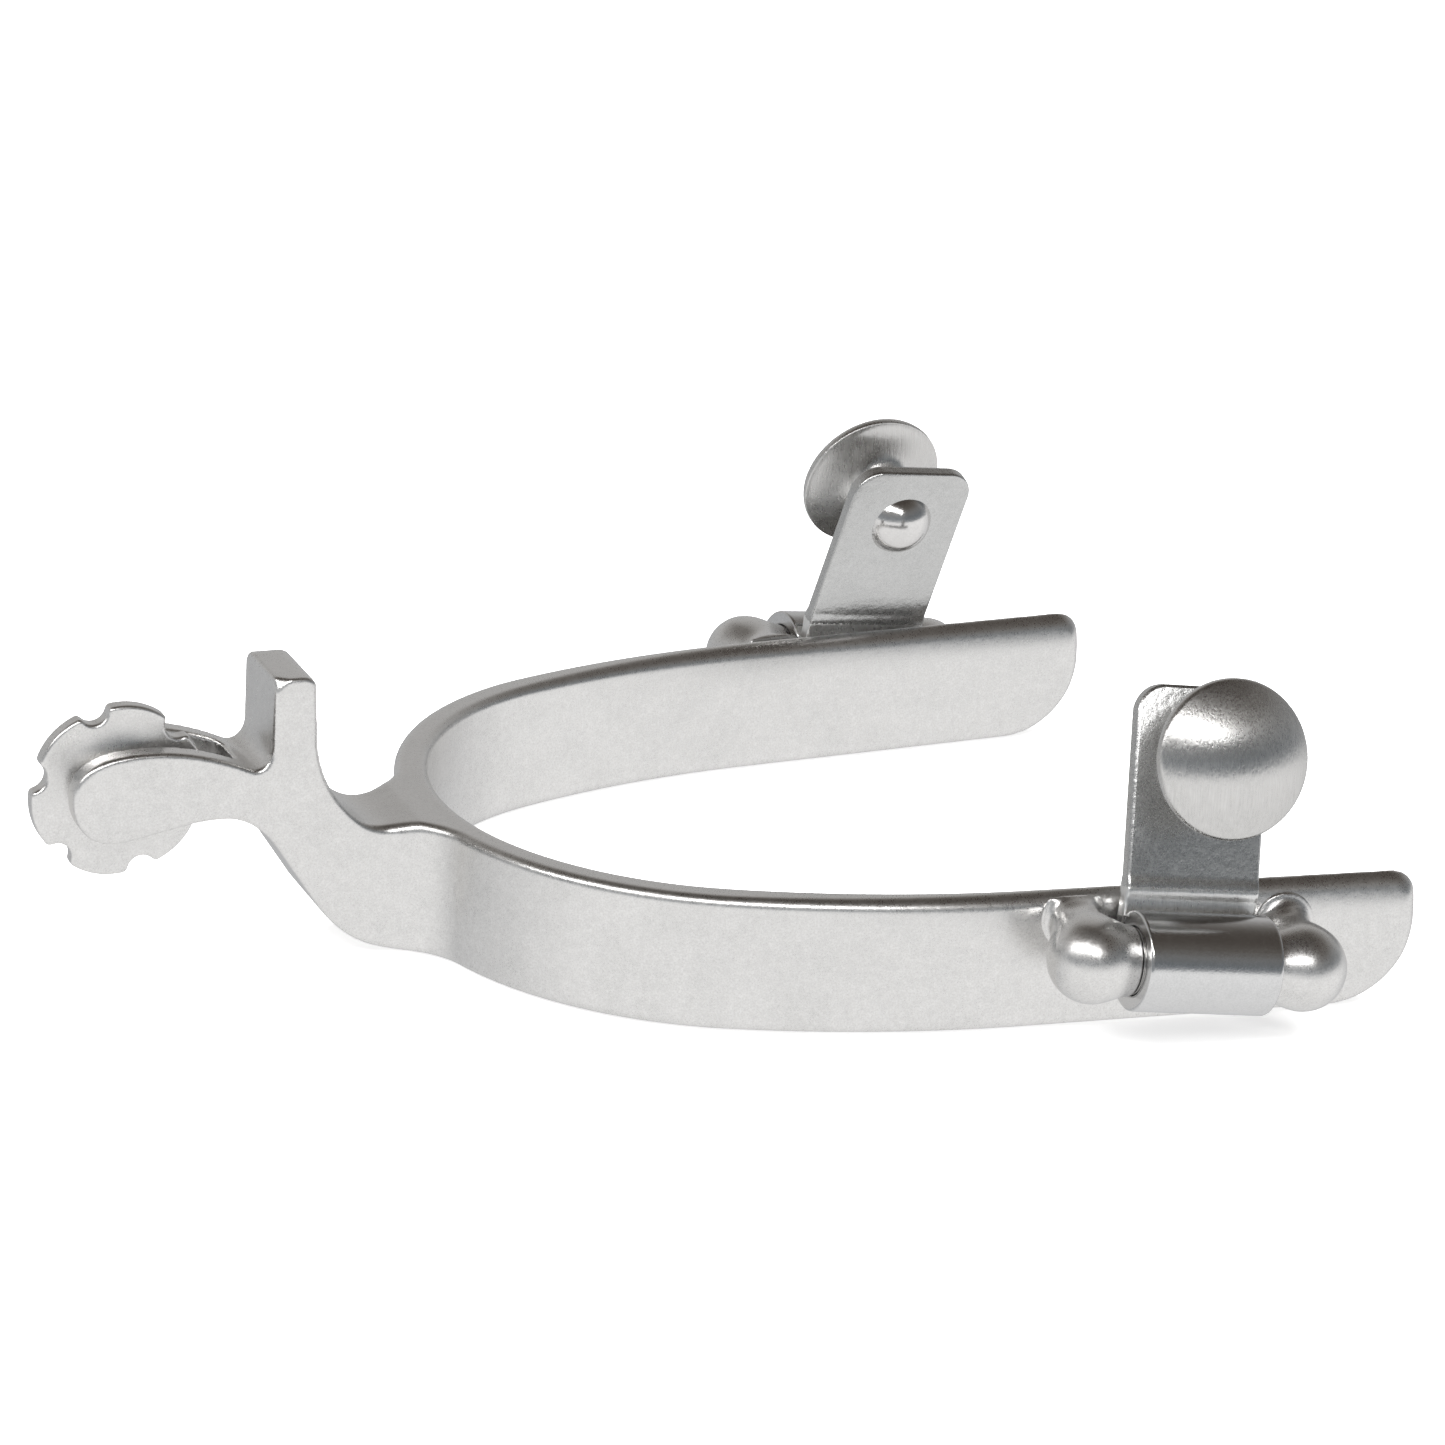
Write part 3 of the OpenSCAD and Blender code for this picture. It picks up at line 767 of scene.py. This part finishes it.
def make_world():
    """A studio: white table all round, grey walls, a dark warm ceiling; dimmer behind the spur."""
    world = bpy.data.worlds.new("studio")
    scene.world = world
    world.use_nodes = True
    nodes, links = world.node_tree.nodes, world.node_tree.links
    nodes.clear()
    out = nodes.new("ShaderNodeOutputWorld")
    background = node_of(nodes, "ShaderNodeBackground", Strength=1.25)
    links.new(background.outputs[0], out.inputs["Surface"])
    split = nodes.new("ShaderNodeSeparateXYZ")
    links.new(nodes.new("ShaderNodeTexCoord").outputs["Generated"], split.inputs[0])
    height = nodes.new("ShaderNodeMapRange")
    height.inputs["From Min"].default_value = -1
    links.new(split.outputs["Z"], height.inputs["Value"])
    table = [(-1, (0.80, 0.80, 0.80)), (-0.03, (0.90, 0.90, 0.90))]
    ceiling = [(0.86, (0.065, 0.055, 0.048)), (1, (0.05, 0.043, 0.038))]
    front = ramp_of(nodes, links, height.outputs[0], [
        *table, (0.04, (0.34, 0.355, 0.37)), (0.20, (0.22, 0.235, 0.25)),
        (0.45, (0.25, 0.25, 0.25)), (0.66, (0.13, 0.12, 0.11)), *ceiling])
    back = ramp_of(nodes, links, height.outputs[0], [
        (-1, (0.70, 0.70, 0.70)), (-0.5, (0.44, 0.445, 0.455)), (-0.05, (0.42, 0.425, 0.43)),
        (0.40, (0.46, 0.455, 0.45)), (0.70, (0.24, 0.23, 0.22)), (0.87, (0.08, 0.07, 0.06)),
        (1, (0.05, 0.043, 0.038))])
    right = ramp_of(nodes, links, height.outputs[0], [
        *table, (0.04, (0.25, 0.265, 0.28)), (0.20, (0.15, 0.163, 0.175)),
        (0.45, (0.17, 0.17, 0.17)), (0.66, (0.11, 0.10, 0.09)), *ceiling])
    aside = nodes.new("ShaderNodeMapRange")
    aside.inputs["From Min"].default_value, aside.inputs["From Max"].default_value = -0.15, 0.25
    links.new(split.outputs["X"], aside.inputs["Value"])
    walls = nodes.new("ShaderNodeMixRGB")
    links.new(aside.outputs[0], walls.inputs["Fac"])
    links.new(front, walls.inputs["Color1"])
    links.new(right, walls.inputs["Color2"])
    depth = nodes.new("ShaderNodeMapRange")
    depth.inputs["From Min"].default_value, depth.inputs["From Max"].default_value = -0.3, 0.8
    links.new(split.outputs["Y"], depth.inputs["Value"])
    mix = nodes.new("ShaderNodeMixRGB")
    links.new(depth.outputs[0], mix.inputs["Fac"])
    links.new(walls.outputs["Color"], mix.inputs["Color1"])
    links.new(back, mix.inputs["Color2"])
    links.new(mix.outputs["Color"], background.inputs["Color"])


def make_floor():
    """A white table. The steel mirrors the studio's even white instead of its small lit patch."""
    mesh = bpy.data.meshes.new("floor")
    half = 3.0
    height = cad_low.z - 0.0002
    corners = [(-half, -half), (half, -half), (half, half), (-half, half)]
    mesh.from_pydata([(x, y, height) for x, y in corners], [], [(0, 1, 2, 3)])
    floor = link("floor", mesh)
    made = bpy.data.materials.new("floor_white")
    made.use_nodes = True
    shader = made.node_tree.nodes["Principled BSDF"]
    shader.inputs["Base Color"].default_value = (0.9, 0.9, 0.9, 1)
    shader.inputs["Roughness"].default_value = 0.9
    shader.inputs["Specular IOR Level"].default_value = 0.1
    shader.inputs["Emission Color"].default_value = (1, 1, 1, 1)
    shader.inputs["Emission Strength"].default_value = 0.55
    paint(floor, made)
    floor.visible_glossy = False


make_camera()
make_world()
make_floor()
softbox("overhead_fill", 0, 89, 1.6, (2.4, 2.4), 80, shown=False)
softbox("key_softbox", -45, 45, 0.9, (1.4, 0.17), 6.0)
scene.view_settings.view_transform = "Standard"

satin = steel("satin_steel", (0.80, 0.792, 0.78), 0.30, speckle=0.26)
turned = steel("turned_steel", (0.68, 0.672, 0.66), 0.285, (1, 1, 0.06), grain=0.8, speckle=0.2, drawn=0.85)
rolled = steel("rolled_steel", (0.67, 0.67, 0.67), 0.17, mottle=0.12)
# The sheet is slightly bowed, more and more from these points on
plate_origin = Vector((0.038, -0.053, 0.014))
strip_origin = Vector((0.038, -0.053, 0.0045))
plate = steel("plate_steel", (0.62, 0.62, 0.615), 0.28, mottle=0.5, speckle=0.25,
              bow=(plate_origin, (-0.7, 0.0, 0.71), 9.8))
# The strip is the same sheet as the plate, its colour painted much lighter: a painted highlight standing in for
# the light the strip reflects
strip = steel("strip_steel_painted_light", (0.88, 0.88, 0.87), 0.30, (1, 1, 0.2), grain=0.5, mottle=0.3, speckle=0.2,
              bow=(strip_origin, (0.0, 0.0, 1.0), 30.0))
polished = steel("polished_steel", (0.72, 0.71, 0.70), 0.14, mottle=0.08)

paint(make_heel_band(), satin)
paint(make_rowel(), satin)
paint(make_rowel_pin(), polished)
for side in ("right", "left"):
    for end_name in ("rear", "front"):
        paint(make_lug(side, end_name), satin)
    hanger = make_hanger(side)
    paint_hanger(hanger, side, [rolled, strip, plate])
    paint(make_button(side), turned)
    paint(frame["nodes"][f"{side}_rivet"], polished)
    paint(frame["nodes"][f"{side}_hinge_pin"], polished)
